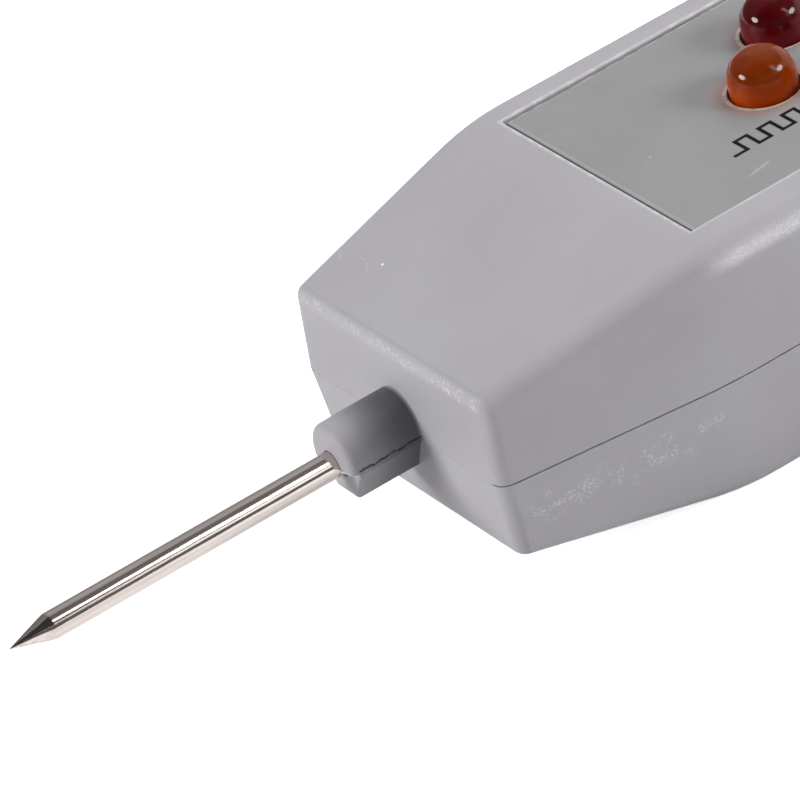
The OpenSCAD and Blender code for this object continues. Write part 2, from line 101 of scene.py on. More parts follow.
def ramp(tree, value, low, high):
    node = tree.nodes.new("ShaderNodeMapRange")
    node.interpolation_type = "SMOOTHSTEP"
    for name, number in (("Value", value), ("From Min", low), ("From Max", high)):
        feed(tree, node.inputs[name], number)
    return node.outputs["Result"]


def two_tone(tree, tone, dark, light, low=0.3, high=0.7):
    return mix_colour(tree, ramp(tree, tone, low, high), colour(dark), colour(light))


def noise_node(tree, vector, scale, detail=2.0, roughness=0.5):
    node = tree.nodes.new("ShaderNodeTexNoise")
    tree.links.new(vector, node.inputs["Vector"])
    for name, value in (("Scale", scale), ("Detail", detail), ("Roughness", roughness)):
        feed(tree, node.inputs[name], value)
    return node.outputs["Fac"]


def bump(tree, height, distance, strength):
    node = tree.nodes.new("ShaderNodeBump")
    for name, value in (("Height", height), ("Distance", distance), ("Strength", strength)):
        feed(tree, node.inputs[name], value)
    return node.outputs["Normal"]


def node_group(name, inputs, outputs):
    group = bpy.data.node_groups.new(name, "ShaderNodeTree")
    for label, kind, value in inputs:
        socket = group.interface.new_socket(name=label, in_out="INPUT", socket_type=kind)
        socket.default_value = value
    for label in outputs:
        group.interface.new_socket(name=label, in_out="OUTPUT", socket_type="NodeSocketFloat")
    entry = group.nodes.new("NodeGroupInput")
    leave = group.nodes.new("NodeGroupOutput")
    return group, entry.outputs, leave.inputs


def add_group(tree, group, values):
    node = tree.nodes.new("ShaderNodeGroup")
    node.node_tree = group
    for name, value in values.items():
        node.inputs[name].default_value = value
    return node.outputs


# The grain that a mould leaves on a surface: a fine height, and a slow change of tone
grain_group, grain_in, grain_out = node_group(
    "moulded_grain",
    [("Fine", "NodeSocketFloat", 5000.0), ("Slow", "NodeSocketFloat", 150.0)],
    ["Height", "Tone"])
grain_place = object_place(grain_group)
for source, detail, target in (("Fine", 3.0, "Height"), ("Slow", 4.0, "Tone")):
    grain_noise = noise_node(grain_group, grain_place, grain_in[source], detail)
    grain_group.links.new(grain_noise, grain_out[target])


def add_grain(tree, fine, slow):
    grain = add_group(tree, grain_group, {"Fine": fine, "Slow": slow})
    return grain["Height"], grain["Tone"]


def grained(name, dark, light, roughness, metallic=0.0, fine=4000.0):
    material, tree, shader, _ = new_material(name, roughness, metallic)
    height, tone = add_grain(tree, fine, slow=200.0)
    tree.links.new(two_tone(tree, tone, dark, light), shader.inputs["Base Color"])
    tree.links.new(bump(tree, height, distance=0.01 * MM, strength=0.2), shader.inputs["Normal"])
    return material


chip_plastic = grained("chip_plastic", "222226", "2b2b30", roughness=0.55, fine=6000.0)
tinned = grained("tinned_wire", "a9a9a8", "c4c4c2", roughness=0.32, metallic=1.0, fine=2500.0)
resistor_lacquer = grained("resistor_lacquer", "c2a06e", "d0b084", roughness=0.3)
diode_glass = grained("diode_glass", "a65531", "bd6a42", roughness=0.12)
capacitor_sleeve = grained("capacitor_sleeve", "1b2842", "243555", roughness=0.28)
for name in ("comparator_chip", "logic_chip", "lamp_drivers"):
    paint(cad_nodes[name], chip_plastic)
for name in ("chip_pins", "lamp_leads", "supply_posts", "range_switch", "memory_switch"):
    paint(cad_nodes[name], tinned)
paint(cad_nodes["resistors"], resistor_lacquer)
paint(cad_nodes["input_diodes"], diode_glass)
paint(cad_nodes["memory_capacitor"], capacitor_sleeve)

# Lower shell
# The lower half of the housing, moulded in light grey plastic with draft and rounded edges. Its
# lip goes up inside the upper shell and its tongue is the lower half of the collar.
touch = 0.01


def select_only(piece):
    bpy.ops.object.select_all(action="DESELECT")
    piece.select_set(True)
    bpy.context.view_layer.objects.active = piece


def smooth(piece, degrees):
    select_only(piece)
    bpy.ops.object.shade_smooth_by_angle(angle=math.radians(degrees))
    even = piece.modifiers.new("even", "WEIGHTED_NORMAL")
    even.keep_sharp = True
    bpy.ops.object.modifier_apply(modifier=even.name)


def copy_node(node, name, body):
    piece = bpy.data.objects.new(name, cad_nodes[node].data.copy())
    bpy.context.scene.collection.objects.link(piece)
    select_only(piece)
    bpy.ops.mesh.customdata_custom_splitnormals_clear()
    bpy.ops.object.mode_set(mode="EDIT")
    bpy.ops.mesh.select_all(action="SELECT")
    bpy.ops.mesh.remove_doubles(threshold=0.001 * MM)
    bpy.ops.mesh.dissolve_limited(angle_limit=math.radians(0.2))
    bpy.ops.object.mode_set(mode="OBJECT")
    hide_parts(node)
    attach(piece, body)
    return piece


def every_edge(edge, middle):
    return True


def round_edges(piece, width, steps, wanted=every_edge, sharp=35.0):
    select_only(piece)
    bpy.ops.object.mode_set(mode="EDIT")
    bpy.ops.mesh.select_mode(type="EDGE")
    bpy.ops.mesh.select_all(action="DESELECT")
    shape = bmesh.from_edit_mesh(piece.data)
    for edge in shape.edges:
        if len(edge.link_faces) == 2 and edge.calc_face_angle() > math.radians(sharp):
            middle = (edge.verts[0].co + edge.verts[1].co) / 2
            edge.select_set(bool(wanted(edge, middle / MM)))
    bmesh.update_edit_mesh(piece.data)
    bpy.ops.mesh.bevel(offset=width * MM, segments=steps, affect="EDGES", clamp_overlap=True)
    bpy.ops.object.mode_set(mode="OBJECT")


def math_node(tree, operation, *values):
    node = tree.nodes.new("ShaderNodeMath")
    node.operation = operation
    for socket, value in zip(node.inputs, values):
        feed(tree, socket, value)
    return node.outputs[0]


def times(tree, product, *others):
    for other in others:
        product = math_node(tree, "MULTIPLY", product, other)
    return product


def outside(tree, mask):
    return math_node(tree, "SUBTRACT", 1.0, mask)


def falling(tree, value, low, high):
    return outside(tree, ramp(tree, value, low, high))


def axes_of(tree, vector):
    node = tree.nodes.new("ShaderNodeSeparateXYZ")
    tree.links.new(vector, node.inputs[0])
    return node.outputs["X"], node.outputs["Y"], node.outputs["Z"]


# What lies inside a box with soft sides
box_group, box_in, box_out = node_group(
    "soft_box",
    [("Low", "NodeSocketVector", (0.0, 0.0, 0.0)), ("High", "NodeSocketVector", (0.0, 0.0, 0.0)),
     ("Soft", "NodeSocketFloat", 0.1 * MM)],
    ["Mask"])
box_place = axes_of(box_group, object_place(box_group))
box_low = axes_of(box_group, box_in["Low"])
box_high = axes_of(box_group, box_in["High"])
box_mask = 1.0
for spot, least, most in zip(box_place, box_low, box_high):
    limits = [math_node(box_group, operation, side, box_in["Soft"])
              for side in (least, most) for operation in ("SUBTRACT", "ADD")]
    box_mask = times(box_group, box_mask, ramp(box_group, spot, limits[0], limits[1]),
                     falling(box_group, spot, limits[2], limits[3]))
box_group.links.new(box_mask, box_out["Mask"])


def within(tree, low, high, soft):
    values = {"Low": Vector(low) * MM, "High": Vector(high) * MM, "Soft": soft * MM}
    return add_group(tree, box_group, values)["Mask"]


# The patches and specks that wear comes in
patch_group, patch_in, patch_out = node_group(
    "worn_patches",
    [("Scale", "NodeSocketFloat", 1000.0), ("Low", "NodeSocketFloat", 0.4),
     ("High", "NodeSocketFloat", 0.6)],
    ["Mask"])
patch_noise = noise_node(patch_group, object_place(patch_group), patch_in["Scale"], detail=3.0)
patch_mask = ramp(patch_group, patch_noise, patch_in["Low"], patch_in["High"])
patch_group.links.new(patch_mask, patch_out["Mask"])


def patches(tree, scale, low, high):
    return add_group(tree, patch_group, {"Scale": scale, "Low": low, "High": high})["Mask"]


# One mark on a surface seen from above: a spot or a straight streak with a ragged edge
mark_group, mark_in, mark_out = node_group(
    "surface_mark",
    [("Centre", "NodeSocketVector", (0.0, 0.0, 0.0)), ("Turn", "NodeSocketVector", (0.0, 0.0, 0.0)),
     ("Half length", "NodeSocketFloat", MM), ("Half width", "NodeSocketFloat", MM)],
    ["Mask"])
mark_place = object_place(mark_group)
from_centre = mark_group.nodes.new("ShaderNodeVectorMath")
from_centre.operation = "SUBTRACT"
mark_group.links.new(mark_place, from_centre.inputs[0])
mark_group.links.new(mark_in["Centre"], from_centre.inputs[1])
turned = mark_group.nodes.new("ShaderNodeVectorRotate")
turned.rotation_type = "EULER_XYZ"
mark_group.links.new(from_centre.outputs[0], turned.inputs["Vector"])
mark_group.links.new(mark_in["Turn"], turned.inputs["Rotation"])
mark_x, mark_y, _ = axes_of(mark_group, turned.outputs[0])
reach = math_node(mark_group, "DIVIDE", mark_x, mark_in["Half length"])
aside = math_node(mark_group, "DIVIDE", mark_y, mark_in["Half width"])
spread = math_node(mark_group, "ADD", times(mark_group, reach, reach), times(mark_group, aside, aside))
ragged = math_node(mark_group, "ADD", spread, noise_node(mark_group, mark_place, scale=6000.0))
mark_group.links.new(falling(mark_group, ragged, low=0.9, high=1.5), mark_out["Mask"])


def add_mark(tree, centre, turn, half_length, half_width):
    values = {"Centre": Vector(centre) * MM, "Turn": (0.0, 0.0, math.radians(-turn)),
              "Half length": half_length * MM, "Half width": half_width * MM}
    return add_group(tree, mark_group, values)["Mask"]


# Lightens a band towards the pale plastic colour: used for real wear, and for painted highlights
def add_wear_and_highlight(tree, wear_and_highlight, band, even, specks, share):
    level = math_node(tree, "ADD", even, times(tree, specks, share))
    return math_node(tree, "MAXIMUM", wear_and_highlight, times(tree, band, level))


housing_plastic, tree, shader, place = new_material("housing_plastic", roughness=0.4)
shader.inputs["Specular IOR Level"].default_value = 0.4
height, tone = add_grain(tree, fine=5200.0, slow=90.0)
tint = two_tone(tree, tone, "aeabb1", "b3b1b6")
x_axis, y_axis, z_axis = axes_of(tree, place)
broken = patches(tree, scale=900.0, low=0.46, high=0.62)
crumbs = patches(tree, scale=5200.0, low=0.46, high=0.7)
sparkle = patches(tree, scale=8500.0, low=0.35, high=0.72)

# Scuffs in a band low on the near side of the nose
scuff_level = 0.42
side_band = within(tree, low=(-59.0, -16.0, 5.3), high=(-43.5, -11.0, 7.8), soft=0.7)
wear_and_highlight = times(tree, side_band, broken, crumbs, scuff_level)

# Rubbed edge between the top and the nose face, with a painted highlight of specks along it, weaker on
# the far side
clump_share = 0.65
far_loss = 0.4
nose_edge_wear_and_glint = within(tree, low=(-60.7, -11.0, 15.3), high=(-59.6, 11.0, 16.1), soft=0.3)
clumps = math_node(tree, "ADD", 1.0 - clump_share, times(tree, broken, clump_share))
to_far = ramp(tree, y_axis, low=-9.0 * MM, high=2.0 * MM)
clumps = times(tree, clumps, outside(tree, times(tree, to_far, far_loss)))
wear_and_highlight = add_wear_and_highlight(tree, wear_and_highlight, nose_edge_wear_and_glint, even=0.07, specks=times(tree, clumps, crumbs), share=0.8)

# Painted highlight along the near edge of the top, from the bend to the lamps; the same band is also
# made a little glossier
near_edge_highlight = within(tree, low=(-44.5, -15.5, 17.95), high=(-8.0, -13.6, 19.0), soft=0.45)
sheen_rise = ramp(tree, x_axis, low=-43.2 * MM, high=-39.4 * MM)
sheen_fade = falling(tree, x_axis, low=-27.0 * MM, high=-10.0 * MM)
near_edge_highlight = times(tree, near_edge_highlight, sheen_rise, sheen_fade)
wear_and_highlight = add_wear_and_highlight(tree, wear_and_highlight, near_edge_highlight, even=0.34, specks=sparkle, share=0.46)

# Painted highlight on the lip round the pocket of the panel
panel_low, panel_high = (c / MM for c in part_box("panel"))
lip = Vector((0.3, 0.3, 0.0))
pocket_gap = Vector((0.15, 0.15, 1.0))
pocket_low = panel_low - pocket_gap
pocket_high = panel_high + pocket_gap
lip_highlight = times(tree, within(tree, pocket_low - lip, pocket_high + lip, soft=0.06),
                 outside(tree, within(tree, pocket_low, pocket_high, soft=0.02)))
wear_and_highlight = add_wear_and_highlight(tree, wear_and_highlight, lip_highlight, even=0.22, specks=broken, share=0.2)

# A nick and three short scratches on top of the nose
nose_top = within(tree, low=(-60.0, -13.0, 15.5), high=(-40.0, 13.0, 21.0), soft=0.1)
for centre, turn, half_length, half_width, level in (
        ((-55.18, 6.94, 17.27), 0, 0.14, 0.14, 1.0),
        ((-55.62, 8.8, 17.17), 95, 0.45, 0.07, 0.15),
        ((-55.95, 7.9, 17.1), 58, 0.6, 0.07, 0.15),
        ((-56.3, 10.7, 17.0), 60, 0.6, 0.12, 0.12)):
    mark = add_mark(tree, centre, turn, half_length, half_width)
    wear_and_highlight = math_node(tree, "MAXIMUM", wear_and_highlight, times(tree, mark, nose_top, level))
# The pale colour of the worn places and of the painted highlights
wear_and_highlight_white = (0.97, 0.94, 0.95, 1.0)
tint = mix_colour(tree, wear_and_highlight, tint, wear_and_highlight_white)

# Painted shade on the collar, darkest at its root by the nose face
collar_shade_level = 0.85
collar_shade_box = within(tree, low=(-66.8, -2.7, 5.0), high=(-60.46, 2.7, 13.4), soft=0.12)
to_root = ramp(tree, x_axis, low=-66.2 * MM, high=-61.4 * MM)
tint = mix_colour(tree, times(tree, collar_shade_box, to_root, collar_shade_level), tint, colour("4a484d"))

# A torn line of dirt along the flash on the collar's near side
dirt_height = 9.84
dirt_sway = 0.85
dirt_level = 0.85
torn_noise = noise_node(tree, place, scale=800.0, detail=6.0, roughness=0.75)
sway = times(tree, math_node(tree, "SUBTRACT", torn_noise, 0.5), dirt_sway * MM)
swayed = math_node(tree, "ADD", z_axis, sway)
off_line = math_node(tree, "ABSOLUTE", math_node(tree, "SUBTRACT", swayed, dirt_height * MM))
on_line = falling(tree, off_line, low=0.03 * MM, high=0.1 * MM)
collar_near = within(tree, low=(-65.7, -2.6, 9.5), high=(-60.35, -2.46, 10.3), soft=0.02)
tint = mix_colour(tree, times(tree, on_line, collar_near, dirt_level), tint, colour("2a2524"))

sheen_gloss = 0.15
tree.links.new(tint, shader.inputs["Base Color"])
dull = ramp(tree, height, low=-0.9, high=1.9)
dull = math_node(tree, "SUBTRACT", dull, times(tree, near_edge_highlight, sheen_gloss))
tree.links.new(dull, shader.inputs["Roughness"])
tree.links.new(bump(tree, height, distance=0.035 * MM, strength=0.6), shader.inputs["Normal"])

seam_low = 9.5
seam_high = 9.62
collar_reach = 5.5
collar_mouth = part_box("upper_shell")[0].x / MM
tongue_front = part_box("lower_shell")[0].x / MM
tongue_top = seam_low - 0.1
pin_height = sum(c.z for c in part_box("contact_pin")) / 2 / MM
pin_clear = 1.5
middle_x = sum(c.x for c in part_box("lower_shell")) / 2 / MM


# The edge of the outer wall at the parting line, behind the collar and not across the nose face
def outer_rim(edge, middle, height):
    if abs(middle.z - height) > touch or middle.x < collar_mouth + collar_reach:
        return False
    walls = [f.normal for f in edge.link_faces if abs(f.normal.z) < 0.5 and f.normal.x > -0.9]
    return any(n.y * middle.y + n.x * (middle.x - middle_x) * 0.2 > 1.0 for n in walls)


def tongue_rim(edge, middle):
    from_pin = math.hypot(middle.y, middle.z - pin_height)
    return middle.x < tongue_front + touch and from_pin > pin_clear and middle.z < tongue_top


lower = copy_node("lower_shell", "lower_moulding", "housing")
round_edges(lower, width=0.1, steps=2, wanted=lambda e, p: outer_rim(e, p, seam_low))
round_edges(lower, width=0.25, steps=3, wanted=tongue_rim)
paint(lower, housing_plastic)
smooth(lower, degrees=32)

# Contact pin and its clip
# A turned steel pin, plated, with a conical point. Its thicker tail is gripped between the shells
# and ends in a brass clip on the board.


def stretched_noise(tree, place, scale, detail, roughness=0.5):
    mapping = tree.nodes.new("ShaderNodeMapping")
    mapping.inputs["Scale"].default_value = scale
    tree.links.new(place, mapping.inputs["Vector"])
    return noise_node(tree, mapping.outputs["Vector"], 1.0, detail, roughness)


pin_plating, tree, shader, place = new_material("pin_plating", roughness=0.1, metallic=1.0)
lines = stretched_noise(tree, place, scale=(60.0, 6500.0, 6500.0), detail=4.0, roughness=0.6)
waves = stretched_noise(tree, place, scale=(500.0, 1500.0, 1500.0), detail=2.0)
pit_share = 0.03
pit_size = 0.25
pit_level = 0.5
cells = tree.nodes.new("ShaderNodeTexVoronoi")
cells.inputs["Scale"].default_value = 1500.0
tree.links.new(place, cells.inputs["Vector"])
cell_draw = tree.nodes.new("ShaderNodeSeparateColor")
tree.links.new(cells.outputs["Color"], cell_draw.inputs[0])
pitted = math_node(tree, "GREATER_THAN", cell_draw.outputs[0], 1.0 - pit_share)
pit_dots = falling(tree, cells.outputs["Distance"], low=0.4 * pit_size, high=pit_size)
pits = times(tree, pitted, pit_dots, pit_level)
tint = mix_colour(tree, pits, two_tone(tree, lines, "c4b8b4", "dcd2cd"), colour("6b625f"))
tree.links.new(tint, shader.inputs["Base Color"])
smooth_level = 0.05
line_dullness = 0.12
dull = math_node(tree, "ADD", smooth_level, times(tree, lines, line_dullness))
tree.links.new(dull, shader.inputs["Roughness"])
line_height = 0.5
wave_height = 1.5
uneven = math_node(tree, "ADD", times(tree, lines, line_height), times(tree, waves, wave_height))
tree.links.new(bump(tree, uneven, distance=0.009 * MM, strength=0.5), shader.inputs["Normal"])

pin = copy_node("contact_pin", "turned_pin", "housing")
pin_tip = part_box("contact_pin")[0].x / MM
point_length = 3.3
point_end = pin_tip + point_length
round_edges(pin, width=0.12, steps=3, wanted=lambda e, p: abs(p.x - point_end) < touch, sharp=8.0)

# A ring of edges close to the tip keeps the shading of the cone even
tip_ring = 0.1
select_only(pin)
bpy.ops.object.mode_set(mode="EDIT")
bpy.ops.mesh.select_all(action="SELECT")
bpy.ops.mesh.bisect(plane_co=((pin_tip + tip_ring) * MM, 0.0, 0.0), plane_no=(1.0, 0.0, 0.0))
bpy.ops.object.mode_set(mode="OBJECT")
paint(pin, pin_plating)
smooth(pin, degrees=25)
clip_brass = grained("clip_brass", "a98a42", "bd9f55", roughness=0.35, metallic=1.0)
paint(cad_nodes["pin_clip"], clip_brass)

# Indicator lamps
# Three moulded lamps with domed lenses, amber in front and red and green behind. Each comes up
# from its leads through a hole in the upper shell and the panel.
glow_top = panel_high.z + 0.6
dome_start = panel_high.z + 2.4


def lens_material(name, tint, deep, glow_tint):
    material, tree, shader, place = new_material(name, roughness=0.07)
    shader.inputs["Specular IOR Level"].default_value = 0.25
    shader.inputs["Subsurface Weight"].default_value = 0.8
    shader.inputs["Subsurface Radius"].default_value = (1.0, 0.35, 0.1)
    shader.inputs["Subsurface Scale"].default_value = 1.2 * MM
    height, tone = add_grain(tree, fine=1500.0, slow=420.0)
    body = two_tone(tree, tone, deep, tint, low=0.35, high=0.65)
    # Up to the dome the lens is painted in a lighter colour, a painted glow standing for light passing
    # up through it
    to_dome = ramp(tree, axes_of(tree, place)[2], glow_top * MM, dome_start * MM)
    tree.links.new(mix_colour(tree, to_dome, colour(glow_tint), body), shader.inputs["Base Color"])
    tree.links.new(bump(tree, height, distance=0.015 * MM, strength=0.12), shader.inputs["Normal"])
    return material


for node, name, tint, deep, glow_tint in (("front_lamp", "amber_lens", "823204", "742a00", "b44000"),
                                    ("far_lamp", "red_lens", "5a0a10", "4a0509", "6c0810"),
                                    ("near_lamp", "green_lens", "164a1c", "0e3d15", "1c5c22")):
    lens = copy_node(node, name, "housing")
    paint(lens, lens_material(name + "_resin", tint, deep, glow_tint))
    smooth(lens, degrees=40)

# Upper shell
# The upper half of the housing, in the same grey plastic, with the arch of the collar, the pocket
# for the panel and the holes for lamps and knobs. Its pillars take the screws.
top_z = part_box("upper_shell")[1].z / MM
top_crown = 0.08
pocket_reach = 1.0


def pocket_rim(edge, middle):
    along = panel_low.x - pocket_reach < middle.x < panel_high.x + pocket_reach
    across = abs(middle.y) < panel_high.y + pocket_reach
    return along and across and abs(middle.z - top_z) < top_crown


upper = copy_node("upper_shell", "upper_moulding", "housing")
round_edges(upper, width=0.1, steps=2, wanted=lambda e, p: outer_rim(e, p, seam_high))
round_edges(upper, width=0.12, steps=3, wanted=pocket_rim)
paint(upper, housing_plastic)
smooth(upper, degrees=32)

# Flash on the collar
# Thin slivers of the shell's own plastic where the mould closed, left standing along the collar's
# parting line on both sides, with a ragged upper edge.
collar_side = 2.5
flash_seed = 7
flash_wall = 0.06
flash_proud = 0.01
flash_start = 0.55
flash_length = 5.2
flash_foot = seam_low - 0.05
flash_stand = 0.34
flash_ragged = 0.1


def flash_sliver(name, columns, rows, place_point):
    bpy.ops.object.select_all(action="DESELECT")
    bpy.ops.mesh.primitive_grid_add(x_subdivisions=columns, y_subdivisions=rows, size=1.0)
    flash = bpy.context.active_object
    flash.name = name
    for vertex in flash.data.vertices:
        vertex.co = Vector(place_point(vertex.co.x + 0.5, vertex.co.y + 0.5)) * MM
    select_only(flash)
    wall = flash.modifiers.new("wall", "SOLIDIFY")
    wall.thickness = flash_wall * MM
    wall.offset = 0.0
    bpy.ops.object.modifier_apply(modifier=wall.name)
    paint(flash, housing_plastic)
    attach(flash, "housing")
    smooth(flash, degrees=40)


for side, name in ((-1, "collar_flash_near"), (1, "collar_flash_far")):
    draw = random.Random(flash_seed + side)

    def collar_point(along, up):
        torn = draw.uniform(-flash_ragged, flash_ragged) if up > 0.9 else 0.0
        return (collar_mouth + flash_start + along * flash_length,
                side * (collar_side + flash_proud),
                flash_foot + up * flash_stand + torn)

    flash_sliver(name, columns=44, rows=3, place_point=collar_point)

# Flash on the nose face
# The same thin plastic fills the parting line across the nose face, a little sunk, on both sides of
# the collar, so that the line hardly shows there.
nose_front = collar_mouth + 5.9
nose_side = 11.0
collar_clear = 2.55
flash_sunk = 0.012
flash_wave = 0.01
for low_y, high_y, name in ((-nose_side, -collar_clear, "nose_flash_near"),
                            (collar_clear, nose_side, "nose_flash_far")):
    draw = random.Random(flash_seed)

    def nose_point(along, up):
        return (nose_front + flash_sunk + flash_wall / 2 + draw.uniform(-flash_wave, flash_wave),
                low_y + along * (high_y - low_y),
                seam_low + up * (seam_high - seam_low))

    flash_sliver(name, columns=30, rows=2, place_point=nose_point)

# Panel
# A thin plate with a flat grey finish and bare cut edges, punched for the lamps and the knobs. It is
# set into the pocket of the upper shell and glued there.
panel_paint, tree, shader, place = new_material("panel_paint", roughness=0.5)
shader.inputs["Specular IOR Level"].default_value = 0.35
height, tone = add_grain(tree, fine=2500.0, slow=110.0)
tint = two_tone(tree, tone, "939394", "989899")
x_axis, y_axis, _ = axes_of(tree, place)

# A scratch and a nick in the finish
scratched = (0.85, 0.85, 0.85, 1.0)
for centre, turn, half_length, half_width, level in (
        ((-33.2, -8.66, 19.75), 10, 1.25, 0.15, 0.22),
        ((-37.05, -1.07, 19.75), 0, 0.1, 0.1, 0.5)):
    mark = add_mark(tree, centre, turn, half_length, half_width)
    tint = mix_colour(tree, times(tree, mark, level), tint, scratched)

# Finish worn off the long edges and the rear one
bare_rim = 0.1
bare_level = 0.6
clear = 1.0
inner = within(tree, low=(panel_low.x - clear, panel_low.y + bare_rim, panel_low.z - clear),
               high=(panel_high.x - bare_rim, panel_high.y - bare_rim, panel_high.z + clear), soft=0.03)
edge_wear = patches(tree, scale=1600.0, low=0.38, high=0.6)
bare = times(tree, outside(tree, inner), edge_wear, bare_level)
tint = mix_colour(tree, bare, tint, colour("dcdbd8"))

# A pale line along the front edge, with a dark one before it: the dark one is painted shadow of the gap
# at the edge
line_soft = 0.03
for line_reach, shade, level in ((0.4, "c6c5c3", 0.25), (0.1, "2e2d2d", 0.75)):
    line_end = panel_low.x + line_reach
    at_front = falling(tree, x_axis, (line_end - line_soft) * MM, (line_end + line_soft) * MM)
    tint = mix_colour(tree, times(tree, at_front, level), tint, colour(shade))

# Painted glow of each lamp's light on the finish, and a painted pale ring of lens light round the rim
# of its hole, by the distance from its axis
halo_start = 2.6
halo_end = 4.2
rim_start = 2.76
rim_end = 2.88
rim_level = 0.6
rim_breaks = patches(tree, scale=1300.0, low=0.3, high=0.55)
for node, glow, level in (("front_lamp", "b0643c", 0.34), ("far_lamp", "8c5a60", 0.34),
                          ("near_lamp", "6f8a72", 0.28)):
    low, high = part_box(node)
    aside_x = math_node(tree, "SUBTRACT", x_axis, (low.x + high.x) / 2)
    aside_y = math_node(tree, "SUBTRACT", y_axis, (low.y + high.y) / 2)
    squares = math_node(tree, "ADD", times(tree, aside_x, aside_x), times(tree, aside_y, aside_y))
    off_axis = math_node(tree, "SQRT", squares)
    lens_glow = falling(tree, off_axis, halo_start * MM, halo_end * MM)
    tint = mix_colour(tree, times(tree, lens_glow, level), tint, colour(glow))
    hole_rim = falling(tree, off_axis, rim_start * MM, rim_end * MM)
    tint = mix_colour(tree, times(tree, hole_rim, rim_breaks, rim_level), tint, colour("e6d6c8"))
tree.links.new(tint, shader.inputs["Base Color"])
tree.links.new(ramp(tree, height, low=-1.0, high=1.9), shader.inputs["Roughness"])
tree.links.new(bump(tree, height, distance=0.01 * MM, strength=0.1), shader.inputs["Normal"])
panel = copy_node("panel", "panel_plate", "housing")
paint(panel, panel_paint)
smooth(panel, degrees=30)

# Pulse sign
# A plain train of pulses printed in black on the panel beside the front lamp, drawn as one line
# of even width.
sign_ink, tree, shader, place = new_material("sign_ink", roughness=0.6)
shader.inputs["Specular IOR Level"].default_value = 0.2
ink_noise = noise_node(tree, place, scale=3500.0, detail=3.0)
tree.links.new(two_tone(tree, ink_noise, "0a090c", "131216"), shader.inputs["Base Color"])
stroke = 0.29
sign_start = Vector((-33.25, -6.0, panel_high.z))
base_run = 0.75
top_run = 0.75
rise = 1.25
pulses = 4
ink_height = 0.012
steps = [(1, 0, base_run)]
for _ in range(pulses):
    steps += [(0, 1, rise), (1, 0, top_run), (0, -1, rise), (1, 0, base_run)]
bpy.ops.object.select_all(action="DESELECT")
bpy.ops.mesh.primitive_plane_add(size=stroke * MM, location=sign_start * MM)
sign = bpy.context.active_object
sign.name = "pulse_sign"
bpy.ops.object.transform_apply(location=True)
bpy.ops.object.mode_set(mode="EDIT")
bpy.ops.mesh.select_mode(type="EDGE")
cell = Vector(sign_start.xy)
for step_x, step_y, run in steps:
    heading = Vector((step_x, step_y))
    for move in (run, stroke):
        front = (cell + heading * stroke / 2) * MM
        bpy.ops.mesh.select_all(action="DESELECT")
        shape = bmesh.from_edit_mesh(sign.data)
        nearest = min(shape.edges, key=lambda e: (
            (e.verts[0].co + e.verts[1].co).xy / 2 - front).length)
        nearest.select_set(True)
        bmesh.update_edit_mesh(sign.data)
        shift = Vector((step_x, step_y, 0)) * move * MM
        bpy.ops.mesh.extrude_region_move(TRANSFORM_OT_translate={"value": shift})
        cell += heading * move
bpy.ops.mesh.select_all(action="SELECT")
bpy.ops.mesh.remove_doubles(threshold=0.001 * MM)
bpy.ops.mesh.normals_make_consistent(inside=False)
bpy.ops.object.mode_set(mode="OBJECT")
select_only(sign)
ink = sign.modifiers.new("ink", "SOLIDIFY")
ink.thickness = ink_height * MM
ink.offset = 1.0
bpy.ops.object.modifier_apply(modifier=ink.name)
paint(sign, sign_ink)
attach(sign, "housing")

# Slide switches
# Two small sliders of black plastic in the steel cans on the board. Their ridged knobs come up
# through slots in the panel.
knob_plastic = grained("knob_plastic", "1e1e22", "28282c", roughness=0.45, fine=4500.0)
for node, name, body in (("range_slider", "range_knob", "range_slide"),
                         ("memory_slider", "memory_knob", "memory_slide")):
    knob = copy_node(node, name, body)
    paint(knob, knob_plastic)
    round_edges(knob, width=0.12, steps=2)
    smooth(knob, degrees=35)

# Screws
# Three plated steel screws with crossed slots. They are sunk in the underside and go up into the
# pillars of the upper shell, and so draw the two shells together.
screw_plating = grained("screw_plating", "b5b0aa", "c9c4be", roughness=0.3, metallic=1.0)
screws = copy_node("case_screws", "cross_screws", "housing")
paint(screws, screw_plating)
round_edges(screws, width=0.1, steps=2)
smooth(screws, degrees=35)

# Cord gland
# A grommet moulded in black rubber, with an open bore. It is snapped into the rear wall on the
# parting line, where the two shells close round its groove.
gland_rubber = grained("gland_rubber", "242426", "2e2e30", roughness=0.7, fine=3000.0)
gland = copy_node("cord_gland", "gland_grommet", "housing")
paint(gland, gland_rubber)
round_edges(gland, width=0.35, steps=3)
smooth(gland, degrees=40)

# Camera
# A long lens on the near side looks down on the nose, rolled a little, so that the pin runs to
# the lower left corner and the housing leaves the picture at the right.
camera_data = bpy.data.cameras.new("camera")
camera_data.sensor_width = 36.0
camera_data.lens = 347.611
camera_data.clip_end = 20.0
camera = bpy.data.objects.new("camera", camera_data)
camera.location = (-0.262242, -0.398089, 0.298711)
camera.rotation_euler = [math.radians(a) for a in (56.4222, 12.0541, -34.8228)]
bpy.context.scene.collection.objects.link(camera)
bpy.context.scene.camera = camera

